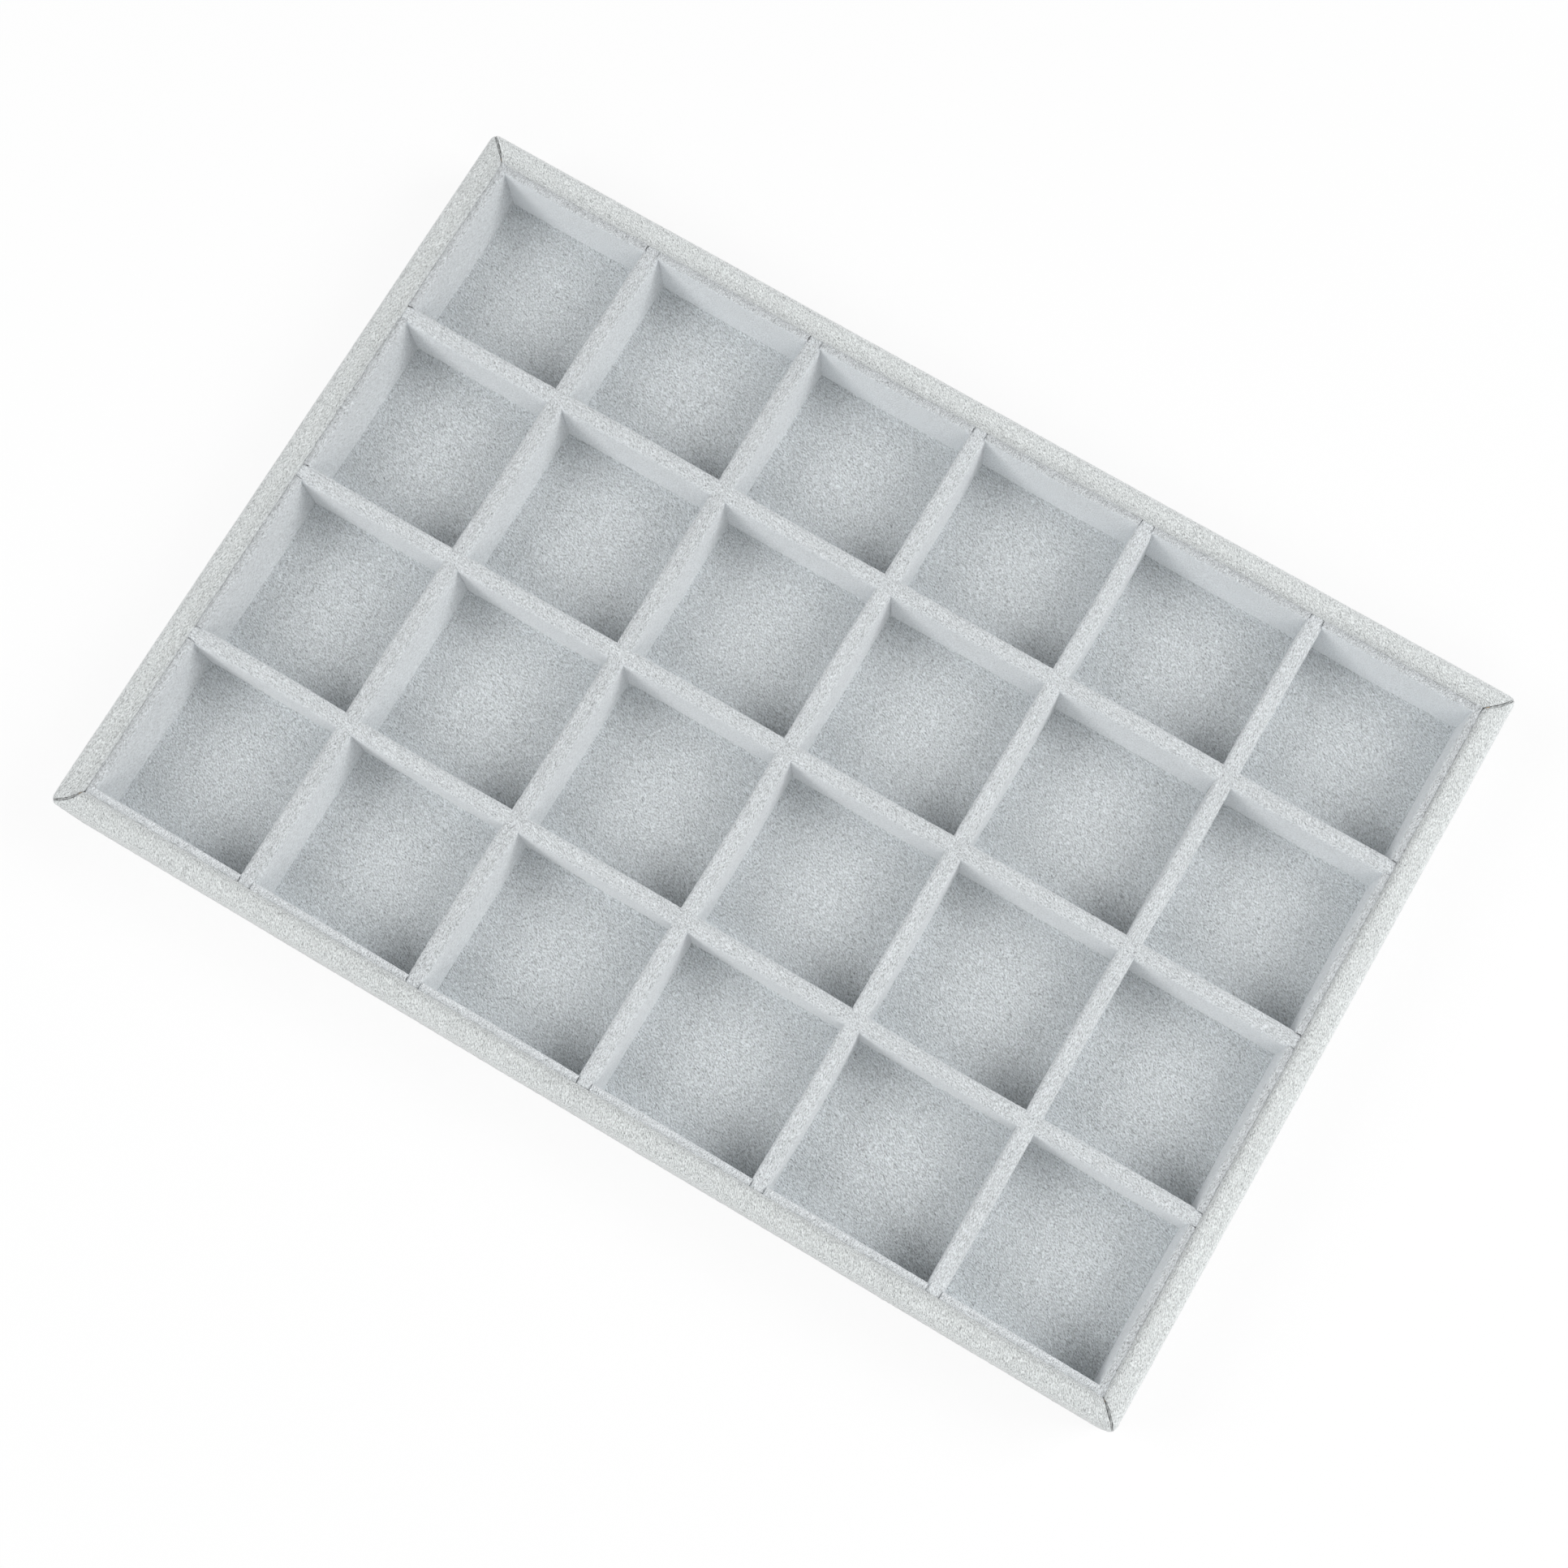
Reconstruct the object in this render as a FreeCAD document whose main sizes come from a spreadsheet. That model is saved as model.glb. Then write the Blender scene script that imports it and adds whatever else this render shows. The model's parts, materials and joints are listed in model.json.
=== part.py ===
import FreeCAD, Part
import os
import Sketcher

# Jewelry tray: a velvet-covered frame on a base board, with a grid of dividers that lifts out.
# +X runs along the tray, +Y towards its back, +Z up. The origin is the middle of the underside.

doc = FreeCAD.newDocument("JewelryTray")

# The driving sizes, in millimetres, with counts and shares.
SIZES = [
    ("tray_length", 350, "outside, cloth to cloth"),
    ("tray_width", 240, "outside, cloth to cloth"),
    ("tray_height", 30, "table to rim"),
    ("corner_radius", 3, "outer corners of the frame, seen from above"),
    ("rail_round", 2.5, "outer top edge of the frame"),
    ("rail_inner_round", 1.2, "inner top edge of the frame"),
    ("foot_round", 1.2, "outer bottom edge of the frame"),
    ("rail_thickness", 6.2, "bare wooden rail"),
    ("velvet", 0.6, "cloth with its pile"),
    ("glue_line", 0.1, "between cloth and what it is glued to"),
    ("seam_gap", 0.3, "between the cut cloth edges at a mitre"),
    ("turn_in", 14, "cloth turned under the base, from the outside"),
    ("infill_gap", 0.5, "between the turned-in cloth and the infill card"),
    ("lining", 0.5, "thickness of the underside lining"),
    ("lining_inset", 4, "lining's edge inside the outside of the tray"),
    ("base_thickness", 3, "base board"),
    ("floor_card", 3, "floor board"),
    ("floor_play", 0.3, "floor board to the frame's cloth"),
    ("liner_card", 0.8, "card in a lining strip"),
    ("liner_drop", 1, "top of the lining strips below the rim"),
    ("liner_flap", 8, "cloth folded down behind a lining strip"),
    ("liner_round", 0.9, "top edges of a lining strip"),
    ("divider_board", 3.8, "bare divider board"),
    ("divider_drop", 1.5, "top of the dividers below the rim"),
    ("divider_round", 1.2, "top edges and ends of a divider"),
    ("end_play", 0.3, "divider to frame and to lining strips"),
    ("lap_play", 0.15, "slack in the half laps, each way"),
    ("lap_share", 0.5, "share of a divider's height below the half lap"),
    ("columns", 6, "compartments along the tray"),
    ("rows", 4, "compartments across the tray"),
    ("pin_diameter", 1.2, "shank of a frame pin"),
    ("pin_length", 16, "frame pin, head to point"),
    ("pin_head", 2.2, "diameter of a pin's head"),
    ("pin_head_height", 0.6, "taper of a pin's head"),
    ("pin_point", 1.5, "length of a pin's point"),
    ("pin_tip_share", 0.3, "share of the shank that the point's tip keeps"),
    ("pin_play", 0.05, "pin to its hole"),
    ("long_pins", 4, "base pins in each long rail"),
    ("short_pins", 3, "base pins in each short rail"),
    ("low_pin_share", 0.3, "height of the lower corner pin, of the rail"),
    ("high_pin_share", 0.72, "height of the upper corner pin, of the rail"),
    ("cut_overrun", 1, "how far a cut runs past what it cuts"),
]

# What follows from them.
LAYOUT = [
    ("skin", "Sizes.velvet + Sizes.glue_line", "cloth and its glue line"),
    ("rail_band", "Sizes.rail_thickness + 2 * skin", "covered rail, seen from above"),
    ("well_length", "Sizes.tray_length - 2 * rail_band", "between the covered rails"),
    ("well_width", "Sizes.tray_width - 2 * rail_band", "between the covered rails"),
    ("base_low", "Sizes.lining + skin", "underside of the base board"),
    ("base_top", "base_low + Sizes.base_thickness", "rails and floor board stand here"),
    ("rail_top", "Sizes.tray_height - skin", "top of the bare rails"),
    ("floor_card_top", "base_top + Sizes.floor_card", "top of the floor board"),
    ("floor_top", "floor_card_top + skin", "what lies in the tray rests here"),
    ("liner_thickness", "Sizes.liner_card + 2 * skin", "covered lining strip"),
    ("liner_height", "Sizes.tray_height - Sizes.liner_drop - floor_top", "strip, on the floor"),
    ("divider_thickness", "Sizes.divider_board + 2 * skin", "covered divider"),
    ("divider_height", "Sizes.tray_height - Sizes.divider_drop - floor_top", "divider, on the floor"),
    ("lap_height", "Sizes.lap_share * divider_height", "where the half laps meet"),
    ("lap_width", "divider_thickness + 2 * Sizes.lap_play", "slot for a crossing divider"),
    ("column_pitch", "(well_length + divider_thickness) / Sizes.columns", "between cross dividers"),
    ("row_pitch", "(well_width + divider_thickness) / Sizes.rows", "between long dividers"),
    ("corner_room", "liner_thickness + 2 * Sizes.glue_line", "long strips stop at the end strips"),
]

# The frame's four sides: the turn from the front, the way each runs and the way it faces.
SIDES = {
    "front": {"turn": 0, "along": (1, 0), "out": (0, -1), "is_long": True},
    "right": {"turn": 90, "along": (0, 1), "out": (1, 0), "is_long": False},
    "back": {"turn": 180, "along": (-1, 0), "out": (0, 1), "is_long": True},
    "left": {"turn": 270, "along": (0, -1), "out": (-1, 0), "is_long": False},
}
UP = FreeCAD.Vector(0, 0, 1)
SAME_PLACE_DIGITS = 5


def fill_sheet(name, lines, mark):
    """A sheet with a named value in each row, and beside it what the value is."""
    sheet = doc.addObject("Spreadsheet::Sheet", name)
    for number, (alias, value, meaning) in enumerate(lines, start=1):
        sheet.setAlias(f"A{number}", alias)
        sheet.set(f"A{number}", f"{mark}{value}")
        sheet.set(f"B{number}", meaning)
    doc.recompute()
    return sheet


sizes = fill_sheet("Sizes", SIZES, "")
layout = fill_sheet("Layout", LAYOUT, "=")
columns = int(sizes.columns)
rows = int(sizes.rows)
pieces = []


def keep(piece, label, solids=1):
    """Names a finished piece of the tray and says how many solids it has."""
    piece.Label = label
    pieces.append((piece, solids))
    return piece


def place(item, x="0", y="0", z="0", turn=0):
    """Turns an item about the upright axis and binds its place to the sheets."""
    item.Placement.Rotation = FreeCAD.Rotation(UP, turn)
    for axis, value in zip("xyz", (x, y, z)):
        item.setExpression(f"Placement.Base.{axis}", value)
    return item


def on_side(side, along, out):
    """The x and y of a point so far along a side and so far out from the middle."""
    runs = SIDES[side]["along"]
    faces = SIDES[side]["out"]
    return [f"{run} * ({along}) + {face} * ({out})" for run, face in zip(runs, faces)]


# Solids and their features


def new_body(name):
    return doc.addObject("PartDesign::Body", name)


def origin_feature(body, role):
    return next(feature for feature in body.Origin.OriginFeatures if feature.Role == role)


def rectangle(body, name, length, width, x="0", y="0", z="0"):
    """A level rectangle, centred on x and y, at height z."""
    sketch = body.newObject("Sketcher::SketchObject", name)
    sketch.AttachmentSupport = [(origin_feature(body, "XY_Plane"), "")]
    sketch.MapMode = "FlatFace"
    for axis, value in zip("xyz", (x, y, z)):
        sketch.setExpression(f"AttachmentOffset.Base.{axis}", value)
    unit_square = [(-1, -1), (1, -1), (1, 1), (-1, 1)]
    ends = [FreeCAD.Vector(across, up, 0) for across, up in unit_square]
    followers = ends[1:] + ends[:1]
    for start, end in zip(ends, followers):
        sketch.addGeometry(Part.LineSegment(start, end), False)
    for line in range(len(ends)):
        following = (line + 1) % len(ends)
        sketch.addConstraint(Sketcher.Constraint("Coincident", line, 2, following, 1))
        direction = "Vertical" if line % 2 else "Horizontal"
        sketch.addConstraint(Sketcher.Constraint(direction, line))
    sketch.addConstraint(Sketcher.Constraint("Symmetric", 0, 1, 2, 1, -1, 1))
    for line, kind, label, value in ((0, "DistanceX", "long", length), (1, "DistanceY", "wide", width)):
        start_value = ends[line].distanceToPoint(followers[line])
        number = sketch.addConstraint(Sketcher.Constraint(kind, line, 1, line, 2, start_value))
        sketch.renameConstraint(number, label)
        sketch.setExpression(f"Constraints.{label}", value)
    return sketch


def pad(body, sketch, height):
    feature = body.newObject("PartDesign::Pad", f"{sketch.Name}_pad")
    feature.Profile = sketch
    feature.setExpression("Length", height)
    return feature


def pocket(body, sketch, depth):
    """Cuts downwards from the sketch."""
    feature = body.newObject("PartDesign::Pocket", f"{sketch.Name}_pocket")
    feature.Profile = sketch
    feature.setExpression("Length", depth)
    return feature


def repeat_along(body, feature, pitch, count):
    """Repeats a feature along the body's own X, count times in all."""
    pattern = body.newObject("PartDesign::LinearPattern", f"{feature.Name}_row")
    pattern.Originals = [feature]
    pattern.Direction = (origin_feature(body, "X_Axis"), [""])
    pattern.setExpression("Length", f"({count} - 1) * {pitch}")
    pattern.setExpression("Occurrences", count)
    body.Tip = pattern


def round_edges(body, name, feature, wanted, radius):
    """Rounds the edges of the body so far that pass the test called wanted."""
    doc.recompute()
    numbered = enumerate(feature.Shape.Edges, start=1)
    chosen = [f"Edge{number}" for number, edge in numbered if wanted(edge, feature.Shape.BoundBox)]
    rounding = body.newObject("PartDesign::Fillet", name)
    rounding.Base = (feature, chosen)
    rounding.setExpression("Radius", radius)
    return rounding


def same(one, other):
    return round(one - other, SAME_PLACE_DIGITS) == 0


def is_upright(edge, around):
    start, end = edge.Vertexes[0].Point, edge.Vertexes[-1].Point
    return same(start.x, end.x) and same(start.y, end.y)


def is_at_top(edge, around):
    return all(same(corner.Z, around.ZMax) for corner in edge.Vertexes)


def is_at_bottom(edge, around):
    return all(same(corner.Z, around.ZMin) for corner in edge.Vertexes)


def runs_along_top(edge, around):
    start, end = edge.Vertexes[0].Point, edge.Vertexes[-1].Point
    return is_at_top(edge, around) and same(start.y, end.y)


def box(name, length, width, height, z):
    """A block centred on the tray's upright axis, standing at z."""
    block = doc.addObject("Part::Box", name)
    for side, value in (("Length", length), ("Width", width), ("Height", height)):
        block.setExpression(side, value)
    return place(block, f"-({length}) / 2", f"-({width}) / 2", z)


def boolean(kind, name, base, tool):
    result = doc.addObject(f"Part::{kind}", name)
    result.Base = base
    result.Tool = tool
    return result


def compound(name, members):
    group = doc.addObject("Part::Compound", name)
    group.Links = members
    return group


# The frame and the base, all drawn from one outline


def frame_block(name, inset, low, high, has_top_round=True, has_foot_round=True):
    """The tray's outline drawn in by inset, from low to high, with rounded corners."""
    body = new_body(name)
    plan = rectangle(
        body,
        f"{name}_plan",
        f"Sizes.tray_length - 2 * ({inset})",
        f"Sizes.tray_width - 2 * ({inset})",
        z=low,
    )
    solid = pad(body, plan, f"{high} - ({low})")
    solid = round_edges(body, f"{name}_corners", solid, is_upright, f"Sizes.corner_radius - ({inset})")
    if has_top_round:
        solid = round_edges(body, f"{name}_brow", solid, is_at_top, f"Sizes.rail_round - ({inset})")
    if has_foot_round:
        round_edges(body, f"{name}_foot", solid, is_at_bottom, f"Sizes.foot_round - ({inset})")
    return body


def sink_well(body, inset, high, low):
    """Opens the space between the rails and rounds the rails' inner top edges."""
    length = f"Layout.well_length + 2 * ({inset})"
    width = f"Layout.well_width + 2 * ({inset})"
    solid = pocket(body, rectangle(body, f"{body.Name}_well", length, width, z=high), f"{high} - ({low})")
    half_length = layout.evalExpression(length) / 2
    half_width = layout.evalExpression(width) / 2

    def is_well_rim(edge, around):
        beyond = [max(abs(v.X) - half_length, abs(v.Y) - half_width) for v in edge.Vertexes]
        return is_at_top(edge, around) and round(max(beyond), SAME_PLACE_DIGITS) <= 0

    round_edges(body, f"{body.Name}_lip", solid, is_well_rim, f"Sizes.rail_inner_round - ({inset})")


def side_wedge(name, side, trim):
    """What lies between the mitres at the two ends of a side, less trim at each mitre."""
    is_long = SIDES[side]["is_long"]
    run = "Sizes.tray_length / 2" if is_long else "Sizes.tray_width / 2"
    depth = "Sizes.tray_width / 2" if is_long else "Sizes.tray_length / 2"
    reach = "(Sizes.turn_in + Sizes.cut_overrun)"
    wide_end = f"({run} + Sizes.cut_overrun - {trim})"
    narrow_end = f"({run} - {reach} - {trim})"
    wedge = doc.addObject("Part::Wedge", name)
    faces = {
        "Ymin": f"-{depth} - Sizes.cut_overrun",
        "Ymax": f"-{depth} + {reach}",
        "Xmin": f"-{wide_end}",
        "Xmax": wide_end,
        "X2min": f"-{narrow_end}",
        "X2max": narrow_end,
        "Zmin": "-Sizes.cut_overrun",
        "Z2min": "-Sizes.cut_overrun",
        "Zmax": "Sizes.tray_height + Sizes.cut_overrun",
        "Z2max": "Sizes.tray_height + Sizes.cut_overrun",
    }
    for face, value in faces.items():
        wedge.setExpression(face, value)
    return place(wedge, turn=SIDES[side]["turn"])


def make_base():
    board = frame_block("base_block", "Layout.skin", "Layout.base_low", "Layout.base_top", False)
    keep(boolean("Cut", "base_board", board, pin_holes), "base_board")
    outline = ("Sizes.tray_length", "Sizes.tray_width")
    infill_margin = "(Sizes.turn_in + Sizes.infill_gap)"
    flat_piece("base_infill", *outline, infill_margin, "Sizes.lining", "Layout.skin")
    flat_piece("underside_lining", *outline, "Sizes.lining_inset", "0", "Sizes.lining")


def make_rails():
    body = frame_block("rail_block", "Layout.skin", "Layout.base_top", "Layout.rail_top", True, False)
    sink_well(body, "Layout.skin", "Layout.rail_top", "Layout.base_top - Sizes.cut_overrun")
    for side in SIDES:
        blank = boolean("Common", f"rail_{side}_blank", body, side_wedge(f"rail_{side}_mitre", side, "0"))
        keep(boolean("Cut", f"rail_{side}", blank, pin_holes), f"rail_{side}")


def make_rail_covers():
    """Velvet over the rails and turned under the base, cut at the mitres."""
    outside = frame_block("cover_outside", "0", "Sizes.lining", "Sizes.tray_height")
    sink_well(outside, "0", "Sizes.tray_height", "Layout.base_top")
    inner_low = "Sizes.lining + Sizes.velvet"
    inner_high = "Sizes.tray_height - Sizes.velvet"
    inside = frame_block("cover_inside", "Sizes.velvet", inner_low, inner_high)
    sink_well(inside, "Sizes.velvet", inner_high, "Layout.base_top")
    opening = box(
        "cover_opening",
        "Sizes.tray_length - 2 * Sizes.turn_in",
        "Sizes.tray_width - 2 * Sizes.turn_in",
        "Layout.base_low + Sizes.cut_overrun",
        "-Sizes.cut_overrun",
    )
    shell = boolean("Cut", "cover_shell", outside, inside)
    ring = boolean("Cut", "cover_ring", shell, opening)
    trim = "Sizes.seam_gap / sqrt(2)"
    for side in SIDES:
        wedge = side_wedge(f"cover_{side}_mitre", side, trim)
        keep(boolean("Common", f"rail_cover_{side}", ring, wedge), f"rail_cover_{side}")


def flat_piece(label, length, width, margin, low, thickness):
    """A flat board, card or sheet, its edges inside length and width by margin."""
    body = new_body(label)
    plan = rectangle(body, f"{label}_plan", f"{length} - 2 * {margin}", f"{width} - 2 * {margin}", z=low)
    pad(body, plan, thickness)
    return keep(body, label)


def make_floor():
    well = ("Layout.well_length", "Layout.well_width", "Sizes.floor_play")
    flat_piece("floor_board", *well, "Layout.base_top", "Sizes.floor_card")
    flat_piece("floor_velvet", *well, "Layout.floor_card_top + Sizes.glue_line", "Sizes.velvet")


# Pins that hold the frame together


def pin_form(name, play):
    """A headed pin that stands on its head, with play added all round."""
    shank = f"(Sizes.pin_diameter / 2 + {play})"
    head = f"(Sizes.pin_head / 2 + {play})"
    tip = f"Sizes.pin_tip_share * {shank}"
    point_low = "Sizes.pin_length - Sizes.pin_point"
    spans = [
        ("head", head, shank, "0", "Sizes.pin_head_height"),
        ("shank", shank, shank, "Sizes.pin_head_height", f"{point_low} - Sizes.pin_head_height"),
        ("point", shank, tip, point_low, "Sizes.pin_point"),
    ]
    members = []
    for part_name, low_radius, high_radius, low, height in spans:
        is_straight = low_radius == high_radius
        span = doc.addObject("Part::Cylinder" if is_straight else "Part::Cone", f"{name}_{part_name}")
        span.setExpression("Radius" if is_straight else "Radius1", low_radius)
        if not is_straight:
            span.setExpression("Radius2", high_radius)
        span.setExpression("Height", height)
        members.append(place(span, z=low))
    form = doc.addObject("Part::MultiFuse", name)
    form.Shapes = members
    return form


def base_pin_spots():
    """Evenly along the middle of each rail, pointing up."""
    for side, facts in SIDES.items():
        count = "Sizes.long_pins" if facts["is_long"] else "Sizes.short_pins"
        run = "Sizes.tray_length" if facts["is_long"] else "Sizes.tray_width"
        depth = "Sizes.tray_width" if facts["is_long"] else "Sizes.tray_length"
        for number in range(int(sizes.evalExpression(count))):
            along = f"({number} - ({count} - 1) / 2) * {run} / {count}"
            x, y = on_side(side, along, f"{depth} / 2 - Layout.rail_band / 2")
            yield x, y, "Layout.base_low", UP


def corner_pin_spots():
    """Two through each mitre, from the end rails into the long rails."""
    for end in (-1, 1):
        for face in (-1, 1):
            for share in ("Sizes.low_pin_share", "Sizes.high_pin_share"):
                x = f"{end} * (Sizes.tray_length / 2 - Layout.skin)"
                y = f"{face} * (Sizes.tray_width / 2 - Layout.rail_band / 2)"
                z = f"Layout.base_top + {share} * (Layout.rail_top - Layout.base_top)"
                yield x, y, z, FreeCAD.Vector(-end, 0, 0)


def pin_group(name, form, spots):
    """Copies of a pin at the spots, each pointing its own way."""
    copies = []
    for number, (x, y, z, direction) in enumerate(spots, start=1):
        copy = doc.addObject("App::Link", f"{name}_{number}")
        copy.LinkedObject = form
        place(copy, x, y, z)
        copy.Placement.Rotation = FreeCAD.Rotation(UP, direction)
        copies.append(copy)
    return compound(name, copies), len(copies)


def make_pins():
    """The two groups of pins, and the holes that they leave in the wood."""
    pin = pin_form("frame_pin", "0")
    hole = pin_form("frame_pin_hole", "Sizes.pin_play")
    holes = []
    for label, spots in (("base_pins", base_pin_spots), ("corner_pins", corner_pin_spots)):
        group, count = pin_group(label, pin, spots())
        keep(group, label, count)
        holes.append(pin_group(f"{label}_holes", hole, spots())[0])
    return compound("pin_holes", holes)


# The lining strips round the inside of the frame


def strip_span(number, count, pitch, well, corner_room):
    """Where a strip starts and ends: clear of the dividers, and of the strips round a corner."""
    start_room = corner_room if number == 1 else "Sizes.end_play"
    end_room = corner_room if number == count else "Sizes.end_play"
    start = f"(-{well} / 2 + {number - 1} * {pitch} + {start_room})"
    end = f"(-{well} / 2 + {number} * {pitch} - Layout.divider_thickness - {end_room})"
    return start, end


def liner_velvet(label, length):
    """Cloth down the face of a strip, over its top and a little way down its back."""
    body = new_body(label)
    middle = "Layout.liner_thickness / 2"
    plan = rectangle(body, f"{label}_plan", length, "Layout.liner_thickness", y=middle)
    solid = pad(body, plan, "Layout.liner_height")
    round_edges(body, f"{label}_round", solid, runs_along_top, "Sizes.liner_round")
    past_ends = f"{length} + 2 * Sizes.cut_overrun"
    card_room = rectangle(
        body,
        f"{label}_card_room",
        past_ends,
        "Sizes.liner_card + 2 * Sizes.glue_line",
        y=middle,
        z="Layout.liner_height - Sizes.velvet",
    )
    pocket(body, card_room, "Layout.liner_height")
    below_flap = rectangle(
        body,
        f"{label}_below_flap",
        past_ends,
        "2 * Layout.skin",
        z="Layout.liner_height - Sizes.liner_flap",
    )
    pocket(body, below_flap, "Layout.liner_height")
    return keep(body, label)


def make_liners():
    for side, facts in SIDES.items():
        is_long = facts["is_long"]
        count = columns if is_long else rows
        pitch = "Layout.column_pitch" if is_long else "Layout.row_pitch"
        well = "Layout.well_length" if is_long else "Layout.well_width"
        depth = "Layout.well_width" if is_long else "Layout.well_length"
        corner_room = "Layout.corner_room" if is_long else "Sizes.glue_line"
        runs_forward = sum(facts["along"]) > 0
        cards = []
        for number in range(1, count + 1):
            start, end = strip_span(number, count, pitch, well, corner_room)
            length = f"{end} - {start}"
            x, y = on_side(side, f"({start} + {end}) / 2", f"{depth} / 2 - Sizes.glue_line")
            name = number if runs_forward else count + 1 - number
            place(liner_velvet(f"liner_{side}_{name}", length), x, y, "Layout.floor_top", facts["turn"])
            card = new_body(f"liner_card_{side}_{name}")
            middle = "Layout.liner_thickness / 2"
            plan = rectangle(card, f"{card.Name}_plan", length, "Sizes.liner_card", y=middle)
            pad(card, plan, "Layout.liner_height - Layout.skin")
            cards.append(place(card, x, y, "Layout.floor_top", facts["turn"]))
        keep(compound(f"liner_cards_{side}", cards), f"liner_cards_{side}", count)


# The dividers, half lapped where they cross


def cut_laps(body, pitch, count, from_top):
    """Slots for the crossing dividers, from the top edge down or the bottom edge up."""
    if from_top:
        high = "Layout.divider_height + Sizes.cut_overrun"
        depth = f"{high} - Layout.lap_height"
    else:
        high = "Layout.lap_height + Sizes.lap_play"
        depth = f"{high} + Sizes.cut_overrun"
    across = "Layout.divider_thickness + 2 * Sizes.cut_overrun"
    first = f"-({count} - 1) / 2 * {pitch}"
    slot = rectangle(body, f"{body.Name}_slot", "Layout.lap_width", across, x=first, z=high)
    repeat_along(body, pocket(body, slot, depth), pitch, count)


def divider_board(label, length, laps):
    body = new_body(label)
    plan = rectangle(body, f"{label}_plan", f"{length} - 2 * Layout.skin", "Sizes.divider_board")
    pad(body, plan, "Layout.divider_height - Layout.skin")
    cut_laps(body, *laps)
    return keep(body, label)


def divider_velvet(label, length, laps):
    """Cloth over both faces, the top edge and the two ends of a divider."""
    body = new_body(label)
    plan = rectangle(body, f"{label}_plan", length, "Layout.divider_thickness")
    solid = pad(body, plan, "Layout.divider_height")

    def is_outer_edge(edge, around):
        return is_at_top(edge, around) or is_upright(edge, around)

    round_edges(body, f"{label}_round", solid, is_outer_edge, "Sizes.divider_round")
    board_room = rectangle(
        body,
        f"{label}_board_room",
        f"{length} - 2 * Sizes.velvet",
        "Sizes.divider_board + 2 * Sizes.glue_line",
        z="Layout.divider_height - Sizes.velvet",
    )
    pocket(body, board_room, "Layout.divider_height")
    cut_laps(body, *laps)
    return keep(body, label)


def make_dividers():
    """Long dividers slotted from below sit over cross dividers slotted from above."""
    long_laps = ("Layout.column_pitch", "(Sizes.columns - 1)", False)
    cross_laps = ("Layout.row_pitch", "(Sizes.rows - 1)", True)
    kinds = [
        ("long", "Layout.well_length", rows, "Layout.row_pitch", long_laps),
        ("cross", "Layout.well_width", columns, "Layout.column_pitch", cross_laps),
    ]
    for kind, well, spaces, pitch, laps in kinds:
        length = f"{well} - 2 * Sizes.end_play"
        for number in range(1, spaces):
            offset = f"({number} - {spaces} / 2) * {pitch}"
            turn = 0 if kind == "long" else 90
            x, y = ("0", offset) if kind == "long" else (offset, "0")
            board = divider_board(f"{kind}_divider_{number}", length, laps)
            cloth = divider_velvet(f"{kind}_divider_velvet_{number}", length, laps)
            for piece in (board, cloth):
                place(piece, x, y, "Layout.floor_top", turn)


pin_holes = make_pins()
make_base()
make_rails()
make_rail_covers()
make_floor()
make_liners()
make_dividers()
doc.recompute()

for item in doc.Objects:
    if "Invalid" in item.State or "Error" in item.State:
        raise RuntimeError(f"{item.Label} did not compute: {item.State}")
for piece, solids in pieces:
    if piece.Shape.isNull() or not piece.Shape.isValid():
        raise RuntimeError(f"{piece.Label} has no valid shape")
    if len(piece.Shape.Solids) != solids:
        raise RuntimeError(f"{piece.Label} has {len(piece.Shape.Solids)} solids, not {solids}")

os.makedirs("parts", exist_ok=True)
for piece, solids in pieces:
    piece.Shape.exportStep(os.path.join("parts", f"{piece.Label}.step"))
print(f"{len(pieces)} nodes")
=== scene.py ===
import json
import math
from collections import namedtuple

import bpy
import numpy as np
from bpy.props import FloatProperty, FloatVectorProperty, PointerProperty
from mathutils import Matrix, Vector


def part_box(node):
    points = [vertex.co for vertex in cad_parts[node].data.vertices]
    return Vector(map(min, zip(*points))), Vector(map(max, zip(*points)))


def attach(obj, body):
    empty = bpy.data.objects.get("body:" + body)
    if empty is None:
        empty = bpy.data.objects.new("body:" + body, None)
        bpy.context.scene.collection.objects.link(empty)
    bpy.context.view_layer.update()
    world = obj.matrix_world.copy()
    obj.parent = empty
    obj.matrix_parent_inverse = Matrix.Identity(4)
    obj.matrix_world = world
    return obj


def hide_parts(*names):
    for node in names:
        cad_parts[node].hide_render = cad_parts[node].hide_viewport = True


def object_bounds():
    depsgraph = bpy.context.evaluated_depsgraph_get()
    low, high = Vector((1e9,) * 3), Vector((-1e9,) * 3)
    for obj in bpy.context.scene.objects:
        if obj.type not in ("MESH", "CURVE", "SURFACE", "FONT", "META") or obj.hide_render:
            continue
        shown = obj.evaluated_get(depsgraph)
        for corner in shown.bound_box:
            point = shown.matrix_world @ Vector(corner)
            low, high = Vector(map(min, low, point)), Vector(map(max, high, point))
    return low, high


bl_info = {
    "name": "Velvet jewelry tray",
    "version": (1, 0, 0),
    "blender": (4, 5, 0),
    "location": "3D View > Sidebar > Tray",
    "description": "Dresses the boards of a jewelry tray in velvet and sets up its stage",
    "category": "Object",
}

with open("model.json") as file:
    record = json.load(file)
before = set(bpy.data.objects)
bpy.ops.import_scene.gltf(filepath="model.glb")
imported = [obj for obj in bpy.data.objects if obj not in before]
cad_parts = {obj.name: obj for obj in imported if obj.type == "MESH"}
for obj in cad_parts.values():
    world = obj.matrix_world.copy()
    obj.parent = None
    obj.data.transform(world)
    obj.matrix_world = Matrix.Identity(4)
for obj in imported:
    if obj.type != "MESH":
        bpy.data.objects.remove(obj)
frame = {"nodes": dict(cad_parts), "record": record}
CAD_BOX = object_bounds()

MM = 0.001

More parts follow.
